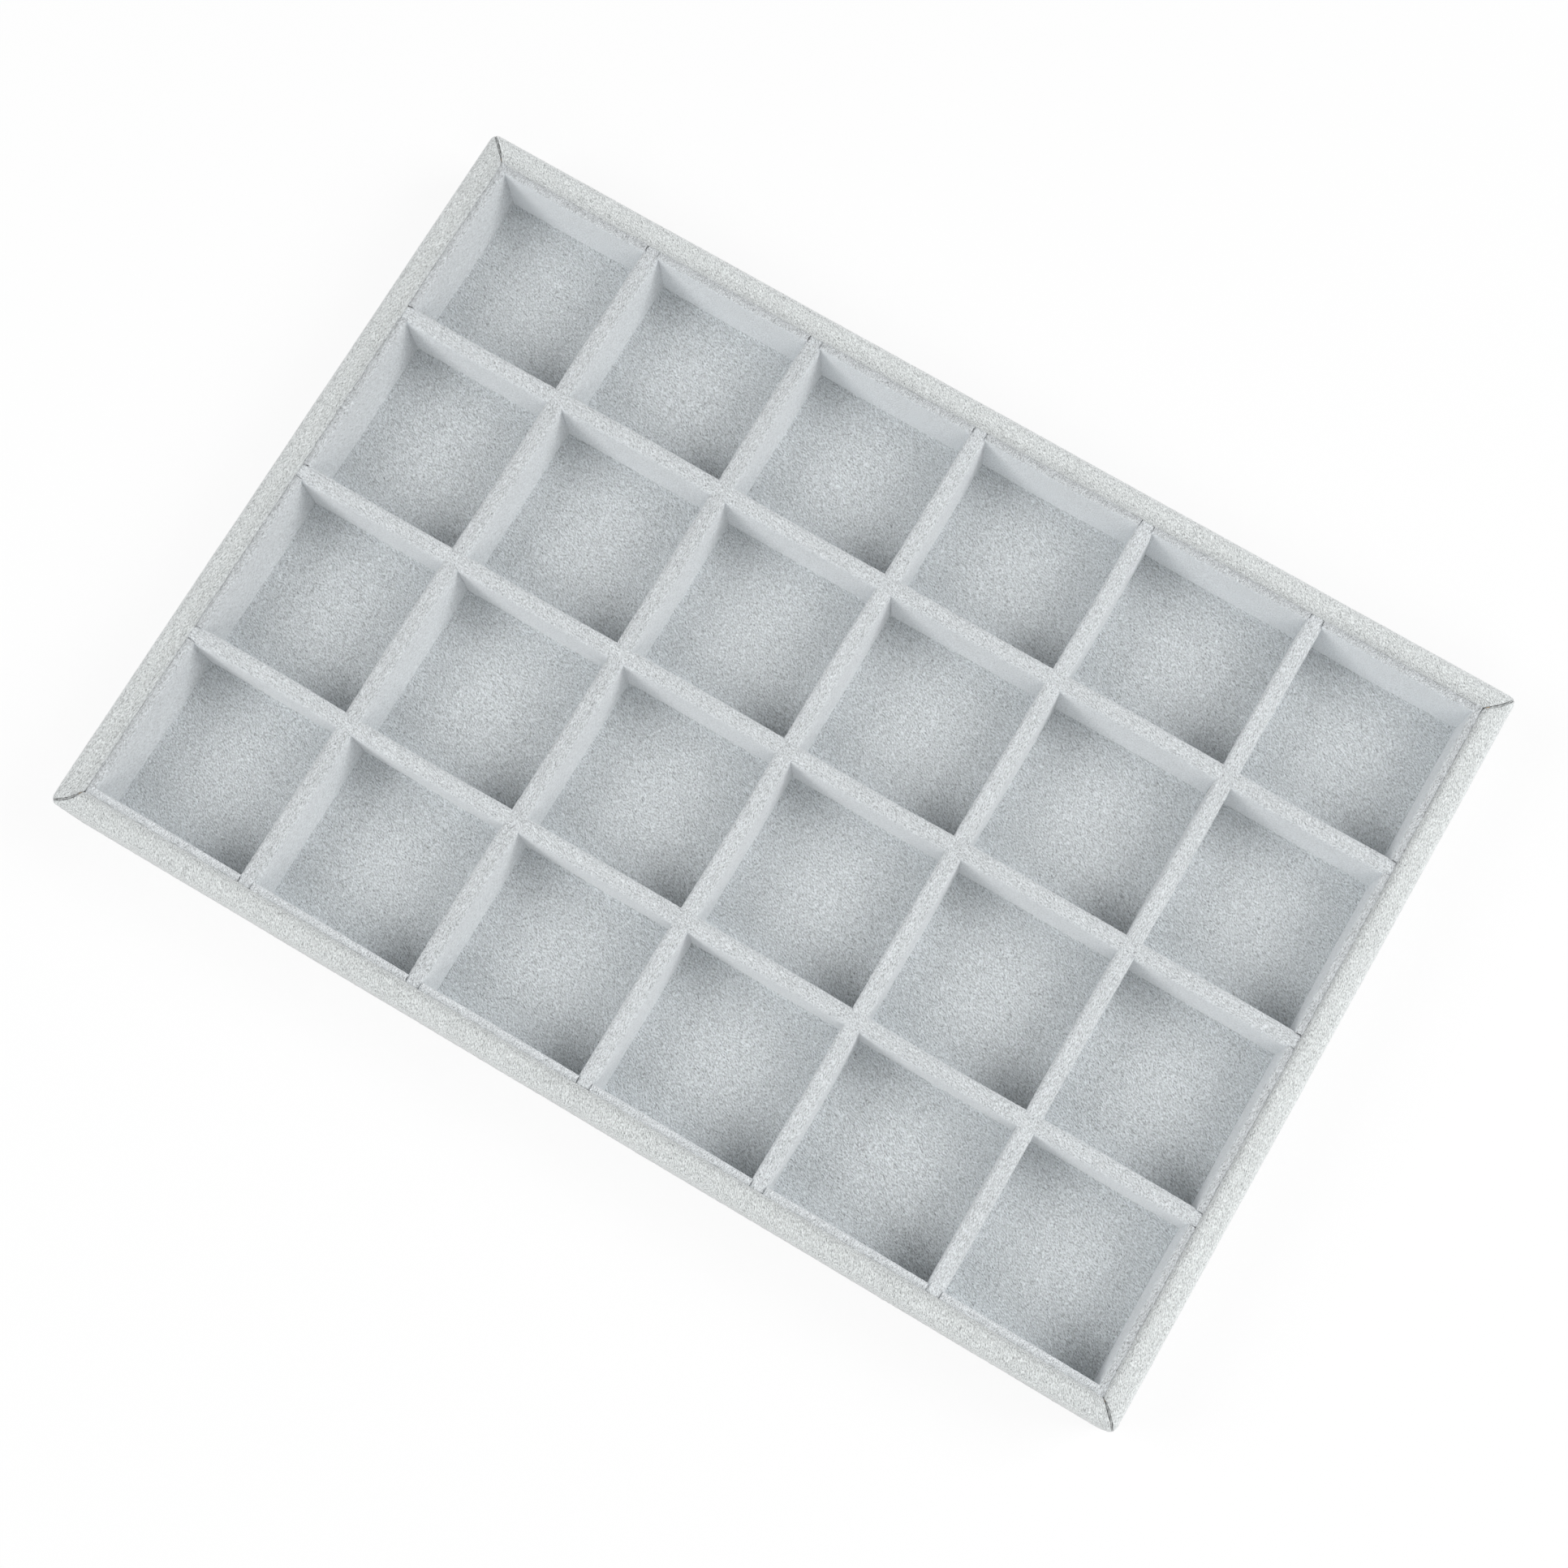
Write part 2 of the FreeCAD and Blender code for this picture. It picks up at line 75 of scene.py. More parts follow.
# The frame's sides: the turn from the front, and whether the side runs along the tray.
SIDES = {
    "front": (0, True),
    "right": (90, False),
    "back": (180, True),
    "left": (270, False),
}

# How pile was brushed: how far it stands up, from 0, lying flat and painted pale as sheen, to 1, on end
# and painted darker as shade, and the way that its strokes lie, in degrees from along the tray.
RailBrushAndLight = namedtuple("RailBrushAndLight", "top outside groove lay")
StripBrushAndLight = namedtuple("StripBrushAndLight", "face top groove")
DividerBrushAndLight = namedtuple("DividerBrushAndLight", "side lay tops")
RAIL_INNER_NAP = 0.55
STRIP_LAY = 88
FLOOR_LAY = -28

# How much of the tufts' full height shows where the pile is short.
RAIL_TUFTS = 0.4
FLOOR_TUFTS = 0.35

# Stations of the cloth that runs on under a mitre, as shares of the lap. At the second one the pale cut
# of the cloth shows between two edges painted dark, as shade in the seam's gap.
LAP_STATIONS = (0.1, 0.22, 0.34, 0.6, 1)


def length(name, description, millimetres):
    return FloatProperty(
        name=name, description=description, default=millimetres * MM, min=0, unit="LENGTH", precision=5
    )


def share(name, description, default):
    return FloatProperty(
        name=name, description=description, default=default, min=0, soft_max=1, subtype="FACTOR"
    )


def colour(name, description, default):
    return FloatVectorProperty(
        name=name, description=description, default=default, min=0, max=1, size=3, subtype="COLOR"
    )


def power(name, description, watts):
    return FloatProperty(name=name, description=description, default=watts, min=0, unit="POWER")


class TrayShape(bpy.types.PropertyGroup):
    """Sizes of the velvet on the tray."""

    velvet: length("Velvet", "Thickness of the cloth with its pile", 0.6)
    rail_band: length("Covered rail", "Width of a covered rail, seen from above", 7.6)
    corner_radius: length("Corner radius", "Outer corners of the frame, seen from above", 2)
    rail_round: length("Rail round", "Outer top edge of the frame", 2.5)
    rail_inner_round: length("Rail inner round", "Inner top edge of the frame", 2)
    foot_round: length("Foot round", "Outer bottom edge of the frame", 1.2)
    turn_in: length("Turn-in", "Cloth turned under the base, from the outside", 14)
    seam_gap: length("Seam gap", "Between the cut cloth edges at a mitre", 0.7)
    seam_lap: length("Seam lap", "Cloth of the short rails that runs on under the seam", 1.6)
    seam_dip: length("Seam dip", "How far the cloth sinks beside a mitre", 0.2)
    seam_dip_reach: length("Seam dip reach", "How far from a mitre the cloth sinks", 0.9)
    seam_bow_reach: length("Seam bow reach", "How far from a mitre the cloth is drawn along by its bow", 9)
    # The rail's inner edge is painted darker over this width, as shade in the groove beside the strips.
    rail_groove: length("Rail groove", "Width of the pile brushed up on a rail's inner edge", 3.6)
    strip_round: length("Strip round", "Top front edge of a lining strip", 0.6)
    strip_back_round: length("Strip back round", "Top edge of a lining strip beside the rail", 1.2)
    strip_flap: length("Strip flap", "Cloth folded down behind a lining strip", 8)
    strip_press: length("Strip press", "How far a strip's pile stands past its ends", 0.6)
    strip_back_press: length("Strip back press", "How far a strip is pressed into the pile of its rail", 0.5)
    strip_pinch: length("Strip pinch", "How far a strip is pressed in at its ends", 0.15)
    strip_swell: length("Strip swell", "How far a full strip stands out between its ends", 0.45)
    # A strip's back edge is painted darker over this width, as shade in the groove beside the rail.
    strip_groove: length("Strip groove", "Width of the pile brushed up on a strip's back edge", 2.2)
    divider_round: length("Divider round", "Top edges of a divider", 1.3)
    divider_press: length("Divider press", "How far a divider's pile stands past its ends", 0.7)
    bury: length("Bury", "How far cloth edges sink into the pile of the floor", 0.5)
    divider_bow: length("Divider bow", "How far a divider bows between two crossings", 0.3)
    divider_sag: length("Divider sag", "How far a divider's top sinks between two crossings", 0.15)
    lap_play: length("Lap play", "Slack in the half laps, each way", 0.15)
    fine_step: length("Fine step", "Spacing of the mesh where the pile shows", 0.5)
    coarse_step: length("Coarse step", "Spacing of the mesh on plain faces", 3)
    hidden_step: length("Hidden step", "Spacing of the mesh where cloth is covered", 3)
    pile_height: length("Pile height", "Height of the tufts in the mesh", 0.9)
    pile_size: length("Pile size", "Width of the tufts in the mesh", 0.75)
    wave_height: length("Wave height", "Height of the slow unevenness of glued cloth", 0.18)
    wave_size: length("Wave size", "Width of the slow unevenness of glued cloth", 28)


class TrayFinish(bpy.types.PropertyGroup):
    """Colours of the tray."""

    frame_velvet: colour("Frame velvet", "Velvet on the rails", (0.655, 0.68, 0.68))
    insert_velvet: colour("Insert velvet", "Velvet on the floor, strips and dividers", (0.628, 0.655, 0.672))
    felt: colour("Lining felt", "Felt under the tray", (0.30, 0.31, 0.32))
    fibreboard: colour("Fibreboard", "Bare rails and base", (0.47, 0.35, 0.23))
    grey_board: colour("Grey board", "Bare card of the floor, strips and dividers", (0.40, 0.39, 0.37))
    pin_steel: colour("Pin steel", "Frame pins", (0.60, 0.60, 0.59))


class TrayStage(bpy.types.PropertyGroup):
    """Floor and light round the tray."""

    floor: colour("Floor", "Plain floor", (0.85, 0.85, 0.85))
    floor_reach: length("Floor reach", "From the tray's middle to the floor's edge", 6000)
    backdrop: share("Backdrop", "How much of the floor's look is plain white", 0.85)
    dome: FloatProperty(name="Dome", description="Strength of the light from all round", default=0.4, min=0)
    right_light: power("Right light", "Soft light at the picture's right", 17)
    left_light: power("Left light", "Soft light at the picture's left", 13.5)
    front_light: power("Front light", "Soft light at the picture's lower side", 6.3)
    light_size: length("Light size", "Width of each soft light", 1000)
    light_gap: length("Light distance", "From each soft light to the tray", 1800)


# Cloth


def even(start, end, step):
    """Points from start to end, no more than step apart."""
    slack = 1e-6
    count = max(1, math.ceil(abs(end - start) / step - slack))
    return np.linspace(start, end, count + 1)


def smooth(value):
    """An eased ramp from 0 to 1."""
    value = np.clip(value, 0, 1)
    return value * value * (3 - 2 * value)


def fade(distance, reach):
    """1 at no distance, eased down to 0 at the reach."""
    return 1 - smooth(distance / reach)


def bent_path(corners, radii, steps):
    """Points along a bent line in a plane, with round corners, and the direction at each."""
    widest_turn = 0.4
    corners = [np.array(corner, float) for corner in corners]
    points, ways = [], []
    start = corners[0]
    for number, step in enumerate(steps):
        way = corners[number + 1] - corners[number]
        way /= np.linalg.norm(way)
        is_last = number == len(steps) - 1
        radius = 0 if is_last else radii[number]
        end = corners[number + 1] - way * radius
        for share_along in even(0, 1, step / max(np.linalg.norm(end - start), step)):
            points.append(start + (end - start) * share_along)
            ways.append(way)
        if is_last:
            break
        next_way = corners[number + 2] - corners[number + 1]
        next_way /= np.linalg.norm(next_way)
        centre = end + next_way * radius
        for angle in even(0, math.pi / 2, min(widest_turn, step / radius))[1:-1]:
            points.append(centre - next_way * radius * math.cos(angle) + way * radius * math.sin(angle))
            ways.append(way * math.cos(angle) + next_way * math.sin(angle))
        start = corners[number + 1] + next_way * radius
    return np.array(points), np.array(ways)


def note(cloth, name, values):
    """Keeps a value on each point of a cloth."""
    cloth.data.attributes.new(name, "FLOAT", "POINT").data.foreach_set("value", values.astype(np.float32))


def lay_cloth(name, rows, columns, place, cut=None, marks=None):
    """A flat grid of cloth, bent to where place puts each row and column, less the faces to cut."""
    bpy.ops.object.select_all(action="DESELECT")
    bpy.ops.mesh.primitive_grid_add(x_subdivisions=columns - 1, y_subdivisions=rows - 1, size=1)
    cloth = bpy.context.object
    cloth.name = cloth.data.name = name
    mesh = cloth.data
    flat = np.empty(len(mesh.vertices) * 3)
    mesh.vertices.foreach_get("co", flat)
    flat = flat.reshape(-1, 3) + 0.5
    column = np.rint(flat[:, 0] * (columns - 1)).astype(int)
    row = np.rint(flat[:, 1] * (rows - 1)).astype(int)
    mesh.vertices.foreach_set("co", place(row, column).ravel())
    for mark, value in (marks or {}).items():
        note(cloth, mark, value(row, column))
    if cut is not None:
        corners = np.empty(len(mesh.loops), int)
        mesh.loops.foreach_get("vertex_index", corners)
        corners = corners.reshape(-1, 4)
        is_cut = cut(row[corners].min(1), column[corners].min(1))
        bpy.context.tool_settings.mesh_select_mode = (False, False, True)
        mesh.polygons.foreach_set("select", is_cut)
        bpy.ops.object.mode_set(mode="EDIT")
        bpy.ops.mesh.delete(type="FACE")
        bpy.ops.object.mode_set(mode="OBJECT")
    mesh.update()
    return cloth


def close_folds(cloth):
    """Joins points that lie on each other, as where a cloth closes round an end."""
    bpy.ops.object.mode_set(mode="EDIT")
    bpy.ops.mesh.select_all(action="SELECT")
    bpy.ops.mesh.remove_doubles(threshold=0.01 * MM)
    bpy.ops.object.mode_set(mode="OBJECT")


def point_values(cloth, name):
    """The places or directions of all the points of a cloth."""
    values = np.empty(len(cloth.data.vertices) * 3)
    cloth.data.vertices.foreach_get(name, values)
    return values.reshape(-1, 3)


def nap_and_sheen_by_slope(cloth, least, most):
    """Pile that stands up most on top, and least on upright faces, which are painted paler for it, as sheen.
    """
    top_from, top_ease = 0.5, 0.45
    upward = point_values(cloth, "normal")[:, 2]
    return least + (most - least) * smooth((upward - top_from) / top_ease)


def comb_nap(cloth, nap, lay):
    """Notes on each point how far the pile stands up, which also paints sheen and shade into the velvet's
    colour, and which way it lies.
    """
    note(cloth, "nap", nap)
    note(cloth, "lay", np.full(len(nap), math.radians(lay)))
    group = cloth.vertex_groups.new(name="tufts")
    levels = np.round(np.clip(nap, 0, 1), 2)
    for level in np.unique(levels):
        group.add(np.nonzero(levels == level)[0].tolist(), float(level), "REPLACE")


def push_out(cloth, name, size, detail, height):
    """Makes a cloth uneven along its normals, by a cloudy texture that all cloths share."""
    push = cloth.modifiers.new(name, "DISPLACE")
    push.texture = bpy.data.textures.get(name) or bpy.data.textures.new(name, "CLOUDS")
    push.texture.noise_scale = size
    push.texture.noise_depth = detail
    push.texture_coords = "LOCAL"
    push.strength = height
    return push


def thicken(cloth, thickness):
    """Gives a cloth its thickness, behind its face, and applies all that shapes it."""
    wall = cloth.modifiers.new("thickness", "SOLIDIFY")
    wall.thickness = thickness
    wall.offset = -1
    bpy.context.view_layer.objects.active = cloth
    for name in [modifier.name for modifier in cloth.modifiers]:
        bpy.ops.object.modifier_apply(modifier=name)


def raise_pile(cloth, sizes, tuft_share=1.0):
    """Gives the cloth its slow unevenness, its tufts and its thickness."""
    crease = math.radians(75)
    push_out(cloth, "unevenness", sizes.wave_size, 1, sizes.wave_height)
    tufts = push_out(cloth, "tufts", sizes.pile_size, 2, sizes.pile_height * tuft_share)
    tufts.mid_level = 0.4
    tufts.vertex_group = "tufts"
    thicken(cloth, sizes.velvet)
    bpy.ops.object.select_all(action="DESELECT")
    cloth.select_set(True)
    bpy.ops.object.shade_smooth_by_angle(angle=crease)


def dress(cloth, finish, body, node):
    """Hands a finished cloth over: its material, its body and the solid that it stands for."""
    cloth.data.materials.append(finish)
    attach(cloth, body)
    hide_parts(node)


def turned(points, turn):
    """Points turned about the tray's upright axis, in degrees."""
    spin = np.array(Matrix.Rotation(math.radians(turn), 3, "Z"))
    return points @ spin.T


def box_on_front(node, turn):
    """A node's box as it would lie if its side of the tray were the front."""
    corners = turned(np.array([list(corner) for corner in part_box(node)]), -turn)
    return corners.min(0), corners.max(0)


# Materials


def add_node(tree, kind, place, **settings):
    node = tree.nodes.new(kind)
    node.location = place
    for name, value in settings.items():
        setattr(node, name, value)
    return node


def new_group(name, inputs, outputs):
    """An empty shader group with float and colour sockets, and its two ends."""
    group = bpy.data.node_groups.new(name, "ShaderNodeTree")
    for way, sockets in (("INPUT", inputs), ("OUTPUT", outputs)):
        for label, kind in sockets:
            group.interface.new_socket(name=label, in_out=way, socket_type=f"NodeSocket{kind}")
    start = add_node(group, "NodeGroupInput", (-1200, 0))
    end = add_node(group, "NodeGroupOutput", (920, 0))
    return group, start, end


def feed(tree, value, socket):
    """Sets a socket to a plain number, or links it to another socket."""
    if isinstance(value, (int, float)):
        socket.default_value = value
    else:
        tree.links.new(value, socket)


def noise_node(tree, place, vector, scale, detail, distortion=0.0):
    node = add_node(tree, "ShaderNodeTexNoise", place)
    for name, value in (("Scale", scale), ("Detail", detail), ("Distortion", distortion)):
        feed(tree, value, node.inputs[name])
    tree.links.new(vector, node.inputs["Vector"])
    return node


def maths(tree, place, operation, *values):
    node = add_node(tree, "ShaderNodeMath", place, operation=operation)
    for socket, value in zip(node.inputs, values):
        feed(tree, value, socket)
    return node.outputs[0]


def tint(tree, place, base, factor):
    """A colour made lighter or darker by a factor."""
    node = add_node(tree, "ShaderNodeVectorMath", place, operation="SCALE")
    tree.links.new(base, node.inputs[0])
    tree.links.new(factor, node.inputs["Scale"])
    return node.outputs[0]


def pile_group():
    """Short combed pile: strokes that lie mostly one way, light on their backs and dark between."""
    group, start, end = new_group(
        "velvet pile",
        [("Colour", "Color"), ("Nap", "Float"), ("Lay", "Float"), ("Cut", "Float"), ("Depth", "Float")],
        [("Colour", "Color"), ("Height", "Float")],
    )
    links = group.links
    nap = start.outputs["Nap"]
    place = add_node(group, "ShaderNodeTexCoord", (-1200, 300)).outputs["Object"]

    # Strokes drawn out along the lay, and pushed about so that none is quite straight.
    stroke_scale, stroke_stretch = 4200, 3.2
    swirl_scale, swirl_push = 600, 0.5 * MM
    swirl = noise_node(group, (-1000, 300), place, swirl_scale, 1)
    centred = add_node(group, "ShaderNodeVectorMath", (-820, 300), operation="SUBTRACT")
    links.new(swirl.outputs["Color"], centred.inputs[0])
    centred.inputs[1].default_value = (0.5, 0.5, 0.5)
    pushed = add_node(group, "ShaderNodeVectorMath", (-640, 300), operation="MULTIPLY_ADD")
    links.new(centred.outputs[0], pushed.inputs[0])
    pushed.inputs[1].default_value = (swirl_push, swirl_push, swirl_push)
    links.new(place, pushed.inputs[2])
    combed = add_node(group, "ShaderNodeMapping", (-460, 480), vector_type="TEXTURE")
    lay = add_node(group, "ShaderNodeCombineXYZ", (-640, 480))
    links.new(start.outputs["Lay"], lay.inputs["Z"])
    links.new(lay.outputs[0], combed.inputs["Rotation"])
    combed.inputs["Scale"].default_value = (stroke_stretch, 1, 1)
    links.new(pushed.outputs[0], combed.inputs["Vector"])
    strokes = noise_node(group, (-460, 300), combed.outputs[0], stroke_scale, 1).outputs["Fac"]
    curl = maths(group, (-260, 220), "SUBTRACT", strokes, 0.5)

    # Fuzz between the strokes, and patches where all the pile is a little lighter.
    fuzz_scale, patch_scale = 2600, 45
    fuzz = noise_node(group, (-460, 100), place, fuzz_scale, 2).outputs["Fac"]
    patches = noise_node(group, (-460, -100), place, patch_scale, 2).outputs["Fac"]
    grain = maths(group, (-260, 60), "SUBTRACT", fuzz, 0.5)

    # The gaps between strokes go darker than their backs go light.
    fuzz_shade, gap_shade = 0.3, -1.2
    strands = maths(group, (80, 160), "MULTIPLY_ADD", grain, fuzz_shade, curl)
    deeper = maths(group, (160, 0), "MULTIPLY_ADD", strands, gap_shade, start.outputs["Depth"])
    shade = maths(group, (240, 160), "MULTIPLY", strands, deeper)

    # Only pile that stands up has strokes in relief.
    fuzz_relief = 0.45
    standing = maths(group, (-80, 380), "MULTIPLY", curl, nap)
    relief = maths(group, (80, 380), "MULTIPLY_ADD", grain, fuzz_relief, standing)

    # Pile that lies flat is painted paler, as sheen, and pile that stands up darker, as shade. Cut edges are
    # painted dark, as shade in a seam's gap.
    patch_shade, plain_shade, painted_sheen_share, seam_shade_share = 0.08, 0.98, 0.33, -0.8
    drift = maths(group, (-260, -100), "MULTIPLY_ADD", patches, patch_shade, plain_shade)
    laid_painted_light = maths(group, (-260, -280), "SUBTRACT", 1, nap)
    glow = maths(group, (-80, -200), "MULTIPLY_ADD", laid_painted_light, painted_sheen_share, drift)
    lit = maths(group, (400, 60), "ADD", shade, glow)
    bare = maths(group, (240, -200), "MULTIPLY_ADD", start.outputs["Cut"], seam_shade_share, 1)
    factor = maths(group, (560, 0), "MULTIPLY", lit, bare)
    links.new(tint(group, (720, 60), start.outputs["Colour"], factor), end.inputs["Colour"])
    links.new(relief, end.inputs["Height"])
    return group


def fibre_group():
    """Pressed fibres: flecks of two sizes, as in board and felt."""
    group, start, end = new_group(
        "pressed fibres",
        [("Colour", "Color"), ("Flecks", "Float"), ("Depth", "Float")],
        [("Colour", "Color"), ("Height", "Float")],
    )
    links = group.links
    place = add_node(group, "ShaderNodeTexCoord", (-1200, 300)).outputs["Object"]
    cloud_scale, cloud_share = 60, 0.4
    flecks = noise_node(group, (-900, 300), place, start.outputs["Flecks"], 4, 1.2).outputs["Fac"]
    clouds = noise_node(group, (-900, 0), place, cloud_scale, 2).outputs["Fac"]
    mixed = maths(group, (-600, 200), "MULTIPLY_ADD", clouds, cloud_share, flecks)
    centred = maths(group, (-420, 200), "SUBTRACT", mixed, 0.5 + 0.5 * cloud_share)
    shade = maths(group, (-240, 200), "MULTIPLY", centred, start.outputs["Depth"])
    factor = maths(group, (-60, 200), "ADD", shade, 1)
    links.new(tint(group, (200, 200), start.outputs["Colour"], factor), end.inputs["Colour"])
    links.new(flecks, end.inputs["Height"])
    return group


def new_material(name, roughness):
    """A material with its shader and a bump on it."""
    material = bpy.data.materials.new(name)
    material.use_nodes = True
    tree = material.node_tree
    shader = tree.nodes["Principled BSDF"]
    shader.inputs["Roughness"].default_value = roughness
    bump = add_node(tree, "ShaderNodeBump", (-250, -250))
    tree.links.new(bump.outputs[0], shader.inputs["Normal"])
    return material, tree, shader, bump


def use_group(tree, group, rgb, values):
    """A shader group in a material, with its colour and its plain values."""
    node = add_node(tree, "ShaderNodeGroup", (-550, 100), node_tree=group)
    node.inputs["Colour"].default_value = (*rgb, 1)
    for name, value in values.items():
        node.inputs[name].default_value = value
    return node


def velvet_material(name, rgb, group):
    """Dull velvet with a soft sheen, whose pile, and the sheen and shade painted into its colour, follow the
    marks on its cloth.
    """
    material, tree, shader, bump = new_material(name, roughness=0.95)
    pile = use_group(tree, group, rgb, {"Depth": 1.8})
    for number, label in enumerate(("Nap", "Lay", "Cut")):
        mark = add_node(tree, "ShaderNodeAttribute", (-800, -200 * number), attribute_name=label.lower())
        tree.links.new(mark.outputs["Fac"], pile.inputs[label])
    tree.links.new(pile.outputs["Colour"], shader.inputs["Base Color"])
    tree.links.new(pile.outputs["Height"], bump.inputs["Height"])
    bump.inputs["Distance"].default_value = 0.7 * MM
    bump.inputs["Strength"].default_value = 0.8
    shader.inputs["Specular IOR Level"].default_value = 0.15
    shader.inputs["Sheen Weight"].default_value = 0.7
    shader.inputs["Sheen Roughness"].default_value = 0.4
    return material


def fibre_material(name, rgb, group, flecks, depth, relief):
    """Bare board or felt."""
    material, tree, shader, bump = new_material(name, roughness=0.88)
    fibres = use_group(tree, group, rgb, {"Flecks": flecks, "Depth": depth})
    tree.links.new(fibres.outputs["Colour"], shader.inputs["Base Color"])
    tree.links.new(fibres.outputs["Height"], bump.inputs["Height"])
    bump.inputs["Distance"].default_value = relief
    bump.inputs["Strength"].default_value = 0.5
    shader.inputs["Specular IOR Level"].default_value = 0.2
    return material


def steel_material(name, rgb, group):
    """Drawn wire, as pins are made of."""
    material, tree, shader, bump = new_material(name, roughness=0.35)
    drawn = use_group(tree, group, rgb, {"Flecks": 900, "Depth": 0.3})
    tree.links.new(drawn.outputs["Colour"], shader.inputs["Base Color"])
    tree.links.new(drawn.outputs["Height"], bump.inputs["Height"])
    bump.inputs["Distance"].default_value = 0.02 * MM
    shader.inputs["Metallic"].default_value = 1
    return material


# Operators


class TRAY_OT_finishes(bpy.types.Operator):
    """Makes the tray's materials and puts them on the boards and pins"""

    bl_idname = "tray.finishes"
    bl_label = "Finishes"

    def execute(self, context):
        rgb = context.scene.tray_finish
        pile, fibres = pile_group(), fibre_group()
        velvet_material("frame velvet", rgb.frame_velvet, pile)
        velvet_material("insert velvet", rgb.insert_velvet, pile)
        fibre_material("lining felt", rgb.felt, fibres, flecks=700, depth=0.9, relief=0.3 * MM)
        wood = fibre_material("fibreboard", rgb.fibreboard, fibres, flecks=1400, depth=0.6, relief=0.08 * MM)
        card = fibre_material("grey board", rgb.grey_board, fibres, flecks=900, depth=0.5, relief=0.1 * MM)
        steel = steel_material("pin steel", rgb.pin_steel, fibres)
        bare = {"frame_wood": wood, "grey_board": card, "pin_steel": steel}
        for subpart in frame["record"]["subparts"]:
            if subpart["material_slot"] in bare:
                for slot in frame["nodes"][subpart["node"]].material_slots:
                    slot.material = bare[subpart["material_slot"]]
        return {"FINISHED"}


def rail_rows(sizes, low, high, inner_foot):
    """A rail cover from under the base round the rail to its inner edge, as depth and height."""
    corners = [
        (sizes.turn_in, low),
        (0, low),
        (0, high),
        (sizes.rail_band, high),
        (sizes.rail_band, inner_foot),
    ]
    radii = [sizes.foot_round, sizes.rail_round, sizes.rail_inner_round]
    steps = [sizes.hidden_step, sizes.coarse_step, sizes.fine_step, sizes.hidden_step]
    return bent_path(corners, radii, steps)


def rail_cover(side, sizes, bows, brushed):
    """Velvet over one rail, its ends cut to meet the next covers along bowed mitres."""
    turn, is_long = SIDES[side]
    node = f"rail_cover_{side}"
    low, high = (corner.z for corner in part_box(node))
    inner_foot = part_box(f"rail_{side}")[0].z
    reach = CAD_BOX[1].x if is_long else CAD_BOX[1].y
    depth = CAD_BOX[1].y if is_long else CAD_BOX[1].x
    profile, ways = rail_rows(sizes, low, high, inner_foot)

    # Stations along the rail, closer at its ends. A short rail's cloth runs on under the seams.
    end_room = 6 * MM
    middle = even(-reach + end_room, reach - end_room, sizes.fine_step)
    end = even(reach - end_room, reach, sizes.fine_step / 2)[1:]
    lapped = np.zeros(0) if is_long else sizes.seam_lap * np.array(LAP_STATIONS)
    end = np.concatenate([end, np.full(len(lapped), reach)])
    along = np.concatenate([-end[::-1], middle, end]) / reach
    past_end = np.zeros(len(along))
    if len(lapped):
        past_end[: len(lapped)], past_end[-len(lapped) :] = lapped[::-1], lapped

    # Half of each row: straight, then round the corner as far as the seam, which closes inwards.
    closes_from, closes_over = 0.65, 0.3
    radius = sizes.corner_radius
    inset, height = profile[:, 0], profile[:, 1]
    arc = np.clip(radius - inset, 0, None)
    straight = np.where(arc > 0, reach - radius, reach - inset)
    trim = sizes.seam_gap / 2 * np.where(arc > 0, 1, math.sqrt(2))
    trim = trim * fade(inset / sizes.rail_band - closes_from, closes_over)
    run = straight + arc * math.pi / 4 - trim
    is_top = smooth((height - (high - 2 * sizes.rail_round)) / sizes.rail_round)
    bow_shape = np.sin(math.pi * np.clip(inset / sizes.rail_band, 0, 1)) * is_top

    # Under the seam the cloth lies deeper, and goes round the corner only a little past the mitre.
    lap_depth = 0.45 * sizes.velvet
    most_bend = math.pi / 4 + 0.6

    def place(row, column):
        share_along = along[column]
        to_end = (1 - np.abs(share_along)) * run[row]
        gone = run[row] - to_end + past_end[column]
        sink = -sizes.seam_dip * np.exp(-((to_end / sizes.seam_dip_reach) ** 2))
        sink = sink - lap_depth * smooth(past_end[column] / (LAP_STATIONS[0] * sizes.seam_lap))
        deep = inset[row] - sink * ways[row, 1]
        tall = height[row] + sink * ways[row, 0]
        bend = np.clip(gone - straight[row], 0, None) / np.where(arc[row] > 0, arc[row], 1)
        bend = np.where(arc[row] > 0, np.minimum(bend, most_bend), 0)
        x = np.where(bend > 0, straight[row] + arc[row] * np.sin(bend), gone)
        y = -(depth - deep) + np.where(bend > 0, arc[row] * (1 - np.cos(bend)), 0)
        bow = np.where(share_along < 0, bows[0], bows[1]) * bow_shape[row]
        bow = bow * smooth(1 - to_end / sizes.seam_bow_reach)
        x = (x + bow / math.sqrt(2)) * np.sign(share_along)
        y = y + bow / math.sqrt(2)
        return turned(np.stack([x, y, tall], 1), turn)

    # The cut edges are painted dark, as shade in the seam's gap, less so here and there.
    is_pale = np.abs(past_end - LAP_STATIONS[1] * sizes.seam_lap) <= 0.1 * MM
    is_edge = (np.abs(along) == 1) & ~is_pale

    def seam_shade(row, column):
        uneven = np.sin(1.9 * row + 2.3 * turn)
        return is_edge[column] * (0.75 + 0.25 * uneven)

    cloth = lay_cloth(f"rail_velvet_{side}", len(profile), len(along), place, marks={"cut": seam_shade})
    # Upright faces are painted paler as sheen, and the inner edge darker as shade in the groove beside the
    # strips.
    to_inside = sizes.rail_band - depth - turned(point_values(cloth, "co"), -turn)[:, 1]
    least = np.where(to_inside < sizes.rail_band / 2, RAIL_INNER_NAP, brushed.outside)
    nap = nap_and_sheen_by_slope(cloth, least, brushed.top) + brushed.groove * fade(to_inside, sizes.rail_groove)
    comb_nap(cloth, nap, brushed.lay)
    raise_pile(cloth, sizes, RAIL_TUFTS)
    dress(cloth, bpy.data.materials["frame velvet"], "tray", node)


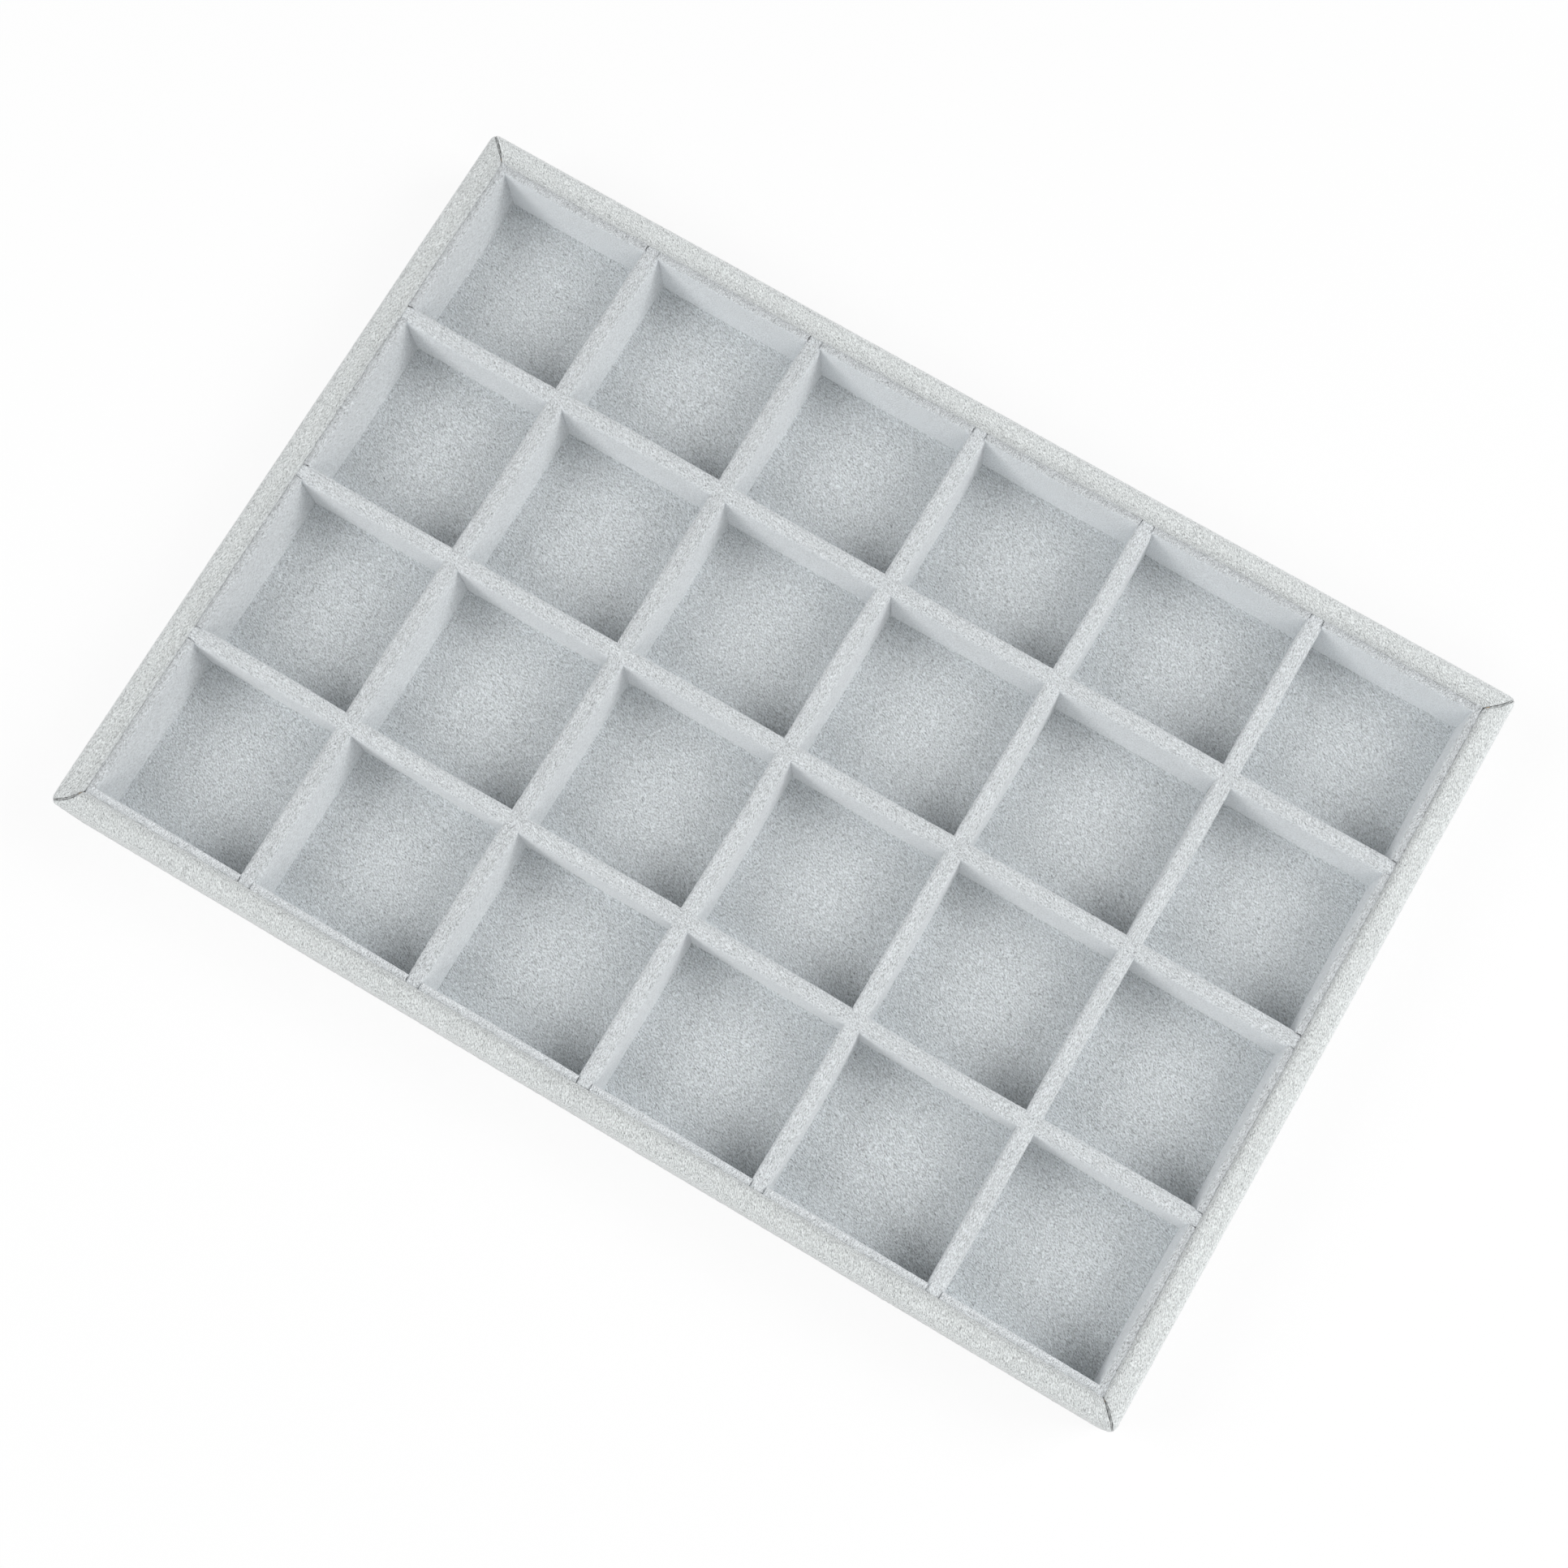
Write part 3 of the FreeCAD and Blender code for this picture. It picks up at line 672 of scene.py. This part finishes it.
class TRAY_OT_rail_covers(bpy.types.Operator):
    """Stretches velvet over the four rails, with a bowed seam at each mitre"""

    bl_idname = "tray.rail_covers"
    bl_label = "Rail velvet"

    def execute(self, context):
        # How far each seam bows off the mitre, at the corner where the side named ends.
        bows = {"front": 0.3 * MM, "right": -0.7 * MM, "back": -0.4 * MM, "left": 1.1 * MM}
        # The groove's value is added along the inner edge, beside the strips, as painted shade.
        # The top and outside values paint each rail paler or darker, as painted sheen and shade.
        brushed = {
            "front": RailBrushAndLight(top=0.95, outside=0.65, groove=0.2, lay=-57),
            "right": RailBrushAndLight(top=0.78, outside=0.32, groove=0.3, lay=111),
            "back": RailBrushAndLight(top=0.84, outside=0.2, groove=0.3, lay=-37),
            "left": RailBrushAndLight(top=1, outside=0.2, groove=0.25, lay=89),
        }
        order = list(SIDES)
        for number, side in enumerate(order):
            rail_cover(side, context.scene.tray_shape, (-bows[order[number - 1]], bows[side]), brushed[side])
        return {"FINISHED"}


def numbers_of(start):
    """The numbers, from 1, of the frame's nodes whose names begin with the same words."""
    return range(1, 1 + sum(node.startswith(start) for node in frame["nodes"]))


def divider_boxes(kind):
    """The boxes of the velvet on all the dividers of a kind."""
    words = f"{kind}_divider_velvet_"
    return [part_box(f"{words}{number}") for number in numbers_of(words)]


def floor_walls():
    """Where strips and dividers stand on the floor: the lines across it, then those along it."""
    walls = [
        [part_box("liner_left_1")[1].x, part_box("liner_right_1")[0].x],
        [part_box("liner_front_1")[1].y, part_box("liner_back_1")[0].y],
    ]
    for axis, kind in enumerate(("cross", "long")):
        walls[axis] += [corner[axis] for box in divider_boxes(kind) for corner in box]
    return walls


def floor_lines(low, high, sizes, walls):
    """Lines of the floor's mesh, close together beside the walls that stand on it."""
    wall_step, open_step = 0.8 * MM, 0.6 * sizes.coarse_step
    beside = [wall + step * wall_step for wall in walls for step in (-1, 0, 1, 2)]
    stops = sorted(stop for stop in beside if low < stop < high)
    stops = [low, *stops, high]
    lines = [even(a, b, open_step) for a, b in zip(stops, stops[1:])]
    return np.unique(np.concatenate(lines).round(6))


def floor_nap_and_painted_light(points):
    """Painted shade in the front right corner of each compartment, where its walls' shadows fall, and
    painted light along its walls, written as how far the pile stands up.
    """
    across, along = (points[:, axis, None] - walls for axis, walls in enumerate(floor_walls()))
    beyond = 1000 * MM
    gap = np.minimum(np.abs(across).min(1), np.abs(along).min(1))
    to_left, to_front = (np.where(way > 0, way, beyond).min(1) for way in (across, along))
    to_right, to_back = (np.where(way < 0, -way, beyond).min(1) for way in (across, along))
    # Painted shade in the front right corner, where the walls' shadows fall.
    corner_shade_share, corner_reach = 0.5, 24 * MM
    corner_shade = corner_shade_share * fade(to_right, corner_reach) * fade(to_front, corner_reach)
    # How flat the pile lies at each wall, and how far from the wall it still does.
    wall_light = (
        (to_right, 0.24, 22 * MM),
        (to_front, 0.3, 14 * MM),
        (to_back, 0.15, 18 * MM),
        (to_left, 0.1, 18 * MM),
    # Painted light at each wall, lifting the shade beside it: how flat the pile lies at each wall, and how
    # far from the wall it still does.
    )
    laid_painted_light = np.maximum.reduce([flat * fade(distance, reach) for distance, flat, reach in wall_light])
    # Painted light at the foot of each wall, lifting the shade where wall and floor meet.
    foot_light, foot_reach = 0.08, 1.6 * MM
    return 1 + corner_shade - laid_painted_light - foot_light * fade(gap, foot_reach)


class TRAY_OT_floor_velvet(bpy.types.Operator):
    """Lays velvet on the floor board"""

    bl_idname = "tray.floor_velvet"
    bl_label = "Floor velvet"

    def execute(self, context):
        sizes = context.scene.tray_shape
        low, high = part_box("floor_velvet")
        x, y = (floor_lines(low[axis], high[axis], sizes, walls) for axis, walls in enumerate(floor_walls()))

        def place(row, column):
            return np.stack([x[column], y[row], np.full(len(row), high.z)], 1)

        cloth = lay_cloth("floor_cloth", len(y), len(x), place)
        comb_nap(cloth, floor_nap_and_painted_light(point_values(cloth, "co")), FLOOR_LAY)
        raise_pile(cloth, sizes, FLOOR_TUFTS)
        dress(cloth, bpy.data.materials["insert velvet"], "tray", "floor_velvet")
        return {"FINISHED"}


def lining_strip(side, number, sizes, fill, brushed):
    """Velvet up the back of a strip, over its top and down its face, pressed in at both ends."""
    turn, _ = SIDES[side]
    node = f"liner_{side}_{number}"
    low, high = box_on_front(node, turn)
    thick = high[1] - low[1]
    foot = low[2] - sizes.bury
    corners = [(0, high[2] - sizes.strip_flap), (0, high[2]), (thick, high[2]), (thick, foot)]
    top_step = 0.7 * sizes.fine_step
    steps = [sizes.hidden_step, top_step, sizes.coarse_step]
    profile, _ = bent_path(corners, [sizes.strip_back_round, sizes.strip_round], steps)
    along = even(low[0] - sizes.strip_press, high[0] + sizes.strip_press, sizes.fine_step)

    # The face swells bluntly between its ends, a little less at its foot.
    full = fill * sizes.strip_swell
    bluntness, foot_share = 0.6, 0.8

    def place(row, column):
        x = along[column]
        share_along = column / (len(along) - 1)
        share_up = (profile[row, 1] - low[2]) / (high[2] - low[2])
        swell = (sizes.strip_pinch + full) * np.sin(math.pi * share_along) ** bluntness - sizes.strip_pinch
        uneven = 0.3 * np.sin(x / (2.3 * MM)) + 0.2 * np.sin(x / (0.9 * MM))
        back = sizes.strip_back_press * (1 + uneven)
        front = thick + swell * (foot_share + (1 - foot_share) * share_up)
        y = low[1] - back + profile[row, 0] / thick * (front + back)
        return turned(np.stack([x, y, profile[row, 1]], 1), turn)

    cloth = lay_cloth(f"strip_velvet_{side}_{number}", len(profile), len(along), place)
    # The face is painted paler as sheen, and the back edge darker as shade in the groove beside the rail.
    to_rail = turned(point_values(cloth, "co"), -turn)[:, 1] - low[1]
    nap = nap_and_sheen_by_slope(cloth, brushed.face, brushed.top) + brushed.groove * fade(to_rail, sizes.strip_groove)
    comb_nap(cloth, nap, STRIP_LAY)
    raise_pile(cloth, sizes)
    dress(cloth, bpy.data.materials["insert velvet"], "tray", node)
    wide = np.linalg.norm(np.diff(profile, axis=0), axis=1).sum()
    wide += sizes.strip_back_press + full


class TRAY_OT_lining_strips(bpy.types.Operator):
    """Folds velvet over the card strips round the inside of the frame"""

    bl_idname = "tray.lining_strips"
    bl_label = "Lining strips"

    def execute(self, context):
        # How full the strips of each side are, as a share of the full swell.
        fills = {"front": 0, "right": 0.2, "back": 1, "left": 1}
        # The groove's value is added along the back edge, beside the rail, as painted shade.
        # The face and top values paint each side's strips paler or darker, as painted sheen and shade.
        brushed = {
            "front": StripBrushAndLight(face=0.2, top=0.7, groove=0.35),
            "right": StripBrushAndLight(face=0.2, top=1, groove=0.3),
            "back": StripBrushAndLight(face=0.17, top=1, groove=0.3),
            "left": StripBrushAndLight(face=0.67, top=1, groove=0.3),
        }
        for side in SIDES:
            for number in numbers_of(f"liner_{side}_"):
                lining_strip(side, number, context.scene.tray_shape, fills[side], brushed[side])
        return {"FINISHED"}


def divider_rows(sizes, low, lap, high):
    """A divider's cloth from one bottom edge over the top to the other: side, rounding and height."""
    round_points, top_points = 5, 6
    bend = high - sizes.divider_round
    side = np.concatenate([even(low, lap, sizes.coarse_step), even(lap, bend, sizes.coarse_step)[1:]])
    climb = [(0, height) for height in side]
    for angle in np.linspace(0, math.pi / 2, round_points)[1:-1]:
        climb.append((1 - math.cos(angle), bend + sizes.divider_round * math.sin(angle)))
    top = [(across, 1, high) for across in np.linspace(-1, 1, top_points)]
    return np.array([(-1, *step) for step in climb] + top + [(1, *step) for step in climb[::-1]])


def divider_cloth(kind, number, sizes, brushed):
    """Velvet over a divider, closed round its ends and slotted for the dividers that cross it."""
    is_long = kind == "long"
    node = f"{kind}_divider_velvet_{number}"
    low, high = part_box(node)
    run, across = (0, 1) if is_long else (1, 0)
    crossing = divider_boxes("cross" if is_long else "long")
    centres = np.array([(a[run] + b[run]) / 2 for a, b in crossing])
    half_slot = (crossing[0][1][run] - crossing[0][0][run]) / 2
    half_slot += sizes.lap_play if is_long else -sizes.lap_play
    end = high[run] + sizes.divider_press
    half = (high[across] - low[across]) / 2
    middle = (high[across] + low[across]) / 2
    lap = (low.z + high.z) / 2 + (sizes.lap_play if is_long else 0)

    # Stations along the divider: round the ends, and at both sides of each slot.
    tip_points, squareness = 9, 6
    tip = end - half
    stops = [-tip, *(c + d for c in centres for d in (-half_slot, half_slot)), tip]
    bays = [even(a, b, sizes.fine_step) for a, b in zip(stops, stops[1:])]
    along = np.unique(np.concatenate(bays).round(7))
    round_end = tip + half * np.sin(np.linspace(0, math.pi / 2, tip_points))[1:]
    along = np.concatenate([-round_end[::-1], along, round_end])
    past = np.clip((np.abs(along) - tip) / half, 0, 1)
    narrowing = (1 - past**squareness) ** (1 / squareness)
    width = half * narrowing
    drop = sizes.divider_round * (1 - narrowing)

    # Each bay between two crossings bows its own way.
    ends = np.array([-end, *centres, end])
    bay = np.clip(np.searchsorted(ends, along) - 1, 0, len(ends) - 2)
    in_bay = np.sin(math.pi * (along - ends[bay]) / (ends[bay + 1] - ends[bay]))
    own_way = np.sin(2.4 * bay + 1.7 * number + (0 if is_long else 1))
    bow = sizes.divider_bow * in_bay * own_way
    drop = drop + sizes.divider_sag * in_bay

    # Beside a slot cut from above, the top leans over the round edge of the divider that crosses.
    nearest = centres[np.abs(along[:, None] - centres).argmin(1)]
    to_slot = np.abs(along - nearest) - half_slot
    lean = np.zeros(len(along))
    if not is_long:
        lean_reach, lean_share, touching = 2 * sizes.divider_round, 0.55, -0.001 * MM
        lean = np.sign(nearest - along) * np.clip(1 - to_slot / lean_reach, 0, 1)
        lean = np.where(to_slot > touching, lean, 0) * lean_share * sizes.divider_round

    rows = divider_rows(sizes, low.z - sizes.bury, lap, high.z)
    if not is_long:
        rows[:, 0] *= -1

    def place(row, column):
        wide = width[column]
        rounding = np.minimum(sizes.divider_round, wide)
        share_up = (rows[row, 2] - low.z) / (high.z - low.z)
        points = np.empty((len(row), 3))
        points[:, run] = along[column] + lean[column] * rows[row, 1]
        points[:, across] = middle + rows[row, 0] * (wide - rounding * rows[row, 1]) + bow[column] * share_up
        points[:, 2] = rows[row, 2] - drop[column] * smooth(2 * share_up - 1)
        return points

    def is_slot(row, column):
        at = (along[column] + along[column + 1]) / 2
        height = (rows[row, 2] + rows[row + 1, 2]) / 2
        return (np.abs(at[:, None] - centres).min(1) < half_slot) & ((height < lap) == is_long)

    cloth = lay_cloth(f"divider_cloth_{kind}_{number}", len(rows), len(along), place, is_slot)
    close_folds(cloth)
    comb_nap(cloth, nap_and_sheen_by_slope(cloth, brushed.side, brushed.tops[number - 1]), brushed.lay)
    raise_pile(cloth, sizes)
    dress(cloth, bpy.data.materials["insert velvet"], "divider_grid", node)


class TRAY_OT_divider_cloths(bpy.types.Operator):
    """Folds velvet over the dividers of the lift-out grid"""

    bl_idname = "tray.divider_cloths"
    bl_label = "Divider velvet"

    def execute(self, context):
        # Side and top values paint the dividers paler or darker, as painted sheen and shade.
        kinds = {
            "long": DividerBrushAndLight(side=0.29, lay=-27, tops=(0.9, 0.9, 0.9)),
            "cross": DividerBrushAndLight(side=0.5, lay=100, tops=(1, 1, 0.89, 0.85, 0.85)),
        }
        for kind, brushed in kinds.items():
            for number in numbers_of(f"{kind}_divider_velvet_"):
                divider_cloth(kind, number, context.scene.tray_shape, brushed)
        return {"FINISHED"}


class TRAY_OT_underside(bpy.types.Operator):
    """Glues felt under the base"""

    bl_idname = "tray.underside"
    bl_label = "Underside felt"

    def execute(self, context):
        sizes = context.scene.tray_shape
        low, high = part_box("underside_lining")
        x = even(low.x, high.x, sizes.hidden_step)
        y = even(low.y, high.y, sizes.hidden_step)

        def place(row, column):
            return np.stack([-x[column], y[row], np.full(len(row), low.z)], 1)

        cloth = lay_cloth("underside_felt", len(y), len(x), place)
        thicken(cloth, high.z - low.z)
        dress(cloth, bpy.data.materials["lining felt"], "tray", "underside_lining")
        return {"FINISHED"}


def show_plain(tree, lit, plain, amount, output):
    """Mixes a plain shader into what the camera, mirrors and glass see of a lit one."""
    path = add_node(tree, "ShaderNodeLightPath", (-600, 300)).outputs
    seen = maths(tree, (-400, 300), "MAXIMUM", path["Is Camera Ray"], path["Is Glossy Ray"])
    seen = maths(tree, (-250, 300), "MAXIMUM", seen, path["Is Transmission Ray"])
    mix = add_node(tree, "ShaderNodeMixShader", (300, 0))
    tree.links.new(maths(tree, (-100, 300), "MULTIPLY", seen, amount), mix.inputs[0])
    tree.links.new(lit.outputs[0], mix.inputs[1])
    tree.links.new(plain.outputs[0], mix.inputs[2])
    tree.links.new(mix.outputs[0], tree.nodes[output].inputs["Surface"])


def floor_material(stage):
    """A pale floor that the camera sees as nearly plain white, with the tray's shadow on it."""
    material = bpy.data.materials.new("pale floor")
    material.use_nodes = True
    tree = material.node_tree
    shader = tree.nodes["Principled BSDF"]
    shader.inputs["Base Color"].default_value = (*stage.floor, 1)
    shader.inputs["Roughness"].default_value = 0.9
    glow = add_node(tree, "ShaderNodeEmission", (0, -200))
    show_plain(tree, shader, glow, stage.backdrop, "Material Output")
    return material


def add_floor(stage):
    """A wide round floor under the tray."""
    bpy.ops.object.select_all(action="DESELECT")
    bpy.ops.mesh.primitive_circle_add(vertices=64, radius=stage.floor_reach, fill_type="NGON")
    floor = bpy.context.object
    floor.name = "floor"
    floor.data.materials.append(floor_material(stage))


def add_dome(stage):
    """Even white light from all round, which the camera sees as a plain pale backdrop."""
    world = bpy.data.worlds.new("dome")
    bpy.context.scene.world = world
    world.use_nodes = True
    tree = world.node_tree
    dome = tree.nodes["Background"]
    dome.inputs["Strength"].default_value = stage.dome
    dome.inputs["Color"].default_value = (1, 1, 1, 1)
    pale = add_node(tree, "ShaderNodeBackground", (0, -200))
    show_plain(tree, dome, pale, 1, "World Output")


def add_lights(stage):
    """Soft lights that face the tray."""
    # How far round the tray and how high each one stands, in degrees.
    lights = {"right_light": (30, 42), "left_light": (210, 47), "front_light": (300, 45)}
    for name, (round_by, rise) in lights.items():
        way = Vector((math.cos(math.radians(rise)), 0, math.sin(math.radians(rise))))
        way.rotate(Matrix.Rotation(math.radians(round_by), 3, "Z"))
        bpy.ops.object.light_add(type="AREA", location=way * stage.light_gap)
        light = bpy.context.object
        light.name = name
        light.data.energy = getattr(stage, name)
        light.data.size = stage.light_size
        light.rotation_euler = way.to_track_quat("Z", "Y").to_euler()


def add_camera():
    """A camera where the photograph was taken from, by the directions of the picture's right and up."""
    right = Vector((0.863037, 0.505113, 0.005218))
    up = Vector((-0.495213, 0.843994, 0.206007))
    place = Matrix.Translation((0.10243, -0.13115, 0.7503))
    bpy.ops.object.camera_add()
    camera = bpy.context.object
    camera.name = "camera"
    camera.matrix_world = place @ Matrix((right, up, right.cross(up))).transposed().to_4x4()
    camera.data.sensor_width = 36
    camera.data.lens = 58.94
    camera.data.shift_x = -0.0595
    camera.data.shift_y = 0.0062
    bpy.context.scene.camera = camera


class TRAY_OT_stage(bpy.types.Operator):
    """Sets up the floor, the light and the camera"""

    bl_idname = "tray.stage"
    bl_label = "Stage"

    def execute(self, context):
        stage = context.scene.tray_stage
        context.scene.view_settings.view_transform = "Standard"
        add_floor(stage)
        add_dome(stage)
        add_lights(stage)
        add_camera()
        return {"FINISHED"}


OPERATORS = (
    TRAY_OT_finishes,
    TRAY_OT_rail_covers,
    TRAY_OT_floor_velvet,
    TRAY_OT_lining_strips,
    TRAY_OT_divider_cloths,
    TRAY_OT_underside,
    TRAY_OT_stage,
)


class VIEW3D_PT_tray(bpy.types.Panel):
    """The tray's pieces"""

    bl_label = "Jewelry tray"
    bl_space_type = "VIEW_3D"
    bl_region_type = "UI"
    bl_category = "Tray"

    def draw(self, context):
        for settings in (context.scene.tray_shape, context.scene.tray_finish, context.scene.tray_stage):
            for name in settings.__annotations__:
                self.layout.prop(settings, name)
        for operator in OPERATORS:
            self.layout.operator(operator.bl_idname)


CLASSES = (TrayShape, TrayFinish, TrayStage, *OPERATORS, VIEW3D_PT_tray)


def register():
    for item in CLASSES:
        bpy.utils.register_class(item)
    bpy.types.Scene.tray_shape = PointerProperty(type=TrayShape)
    bpy.types.Scene.tray_finish = PointerProperty(type=TrayFinish)
    bpy.types.Scene.tray_stage = PointerProperty(type=TrayStage)


def unregister():
    del bpy.types.Scene.tray_stage
    del bpy.types.Scene.tray_finish
    del bpy.types.Scene.tray_shape
    for item in reversed(CLASSES):
        bpy.utils.unregister_class(item)


def main():
    register()
    bpy.ops.tray.finishes()
    bpy.ops.tray.rail_covers()
    bpy.ops.tray.floor_velvet()
    bpy.ops.tray.lining_strips()
    bpy.ops.tray.divider_cloths()
    bpy.ops.tray.underside()
    bpy.ops.tray.stage()


if __name__ == "__main__":
    main()
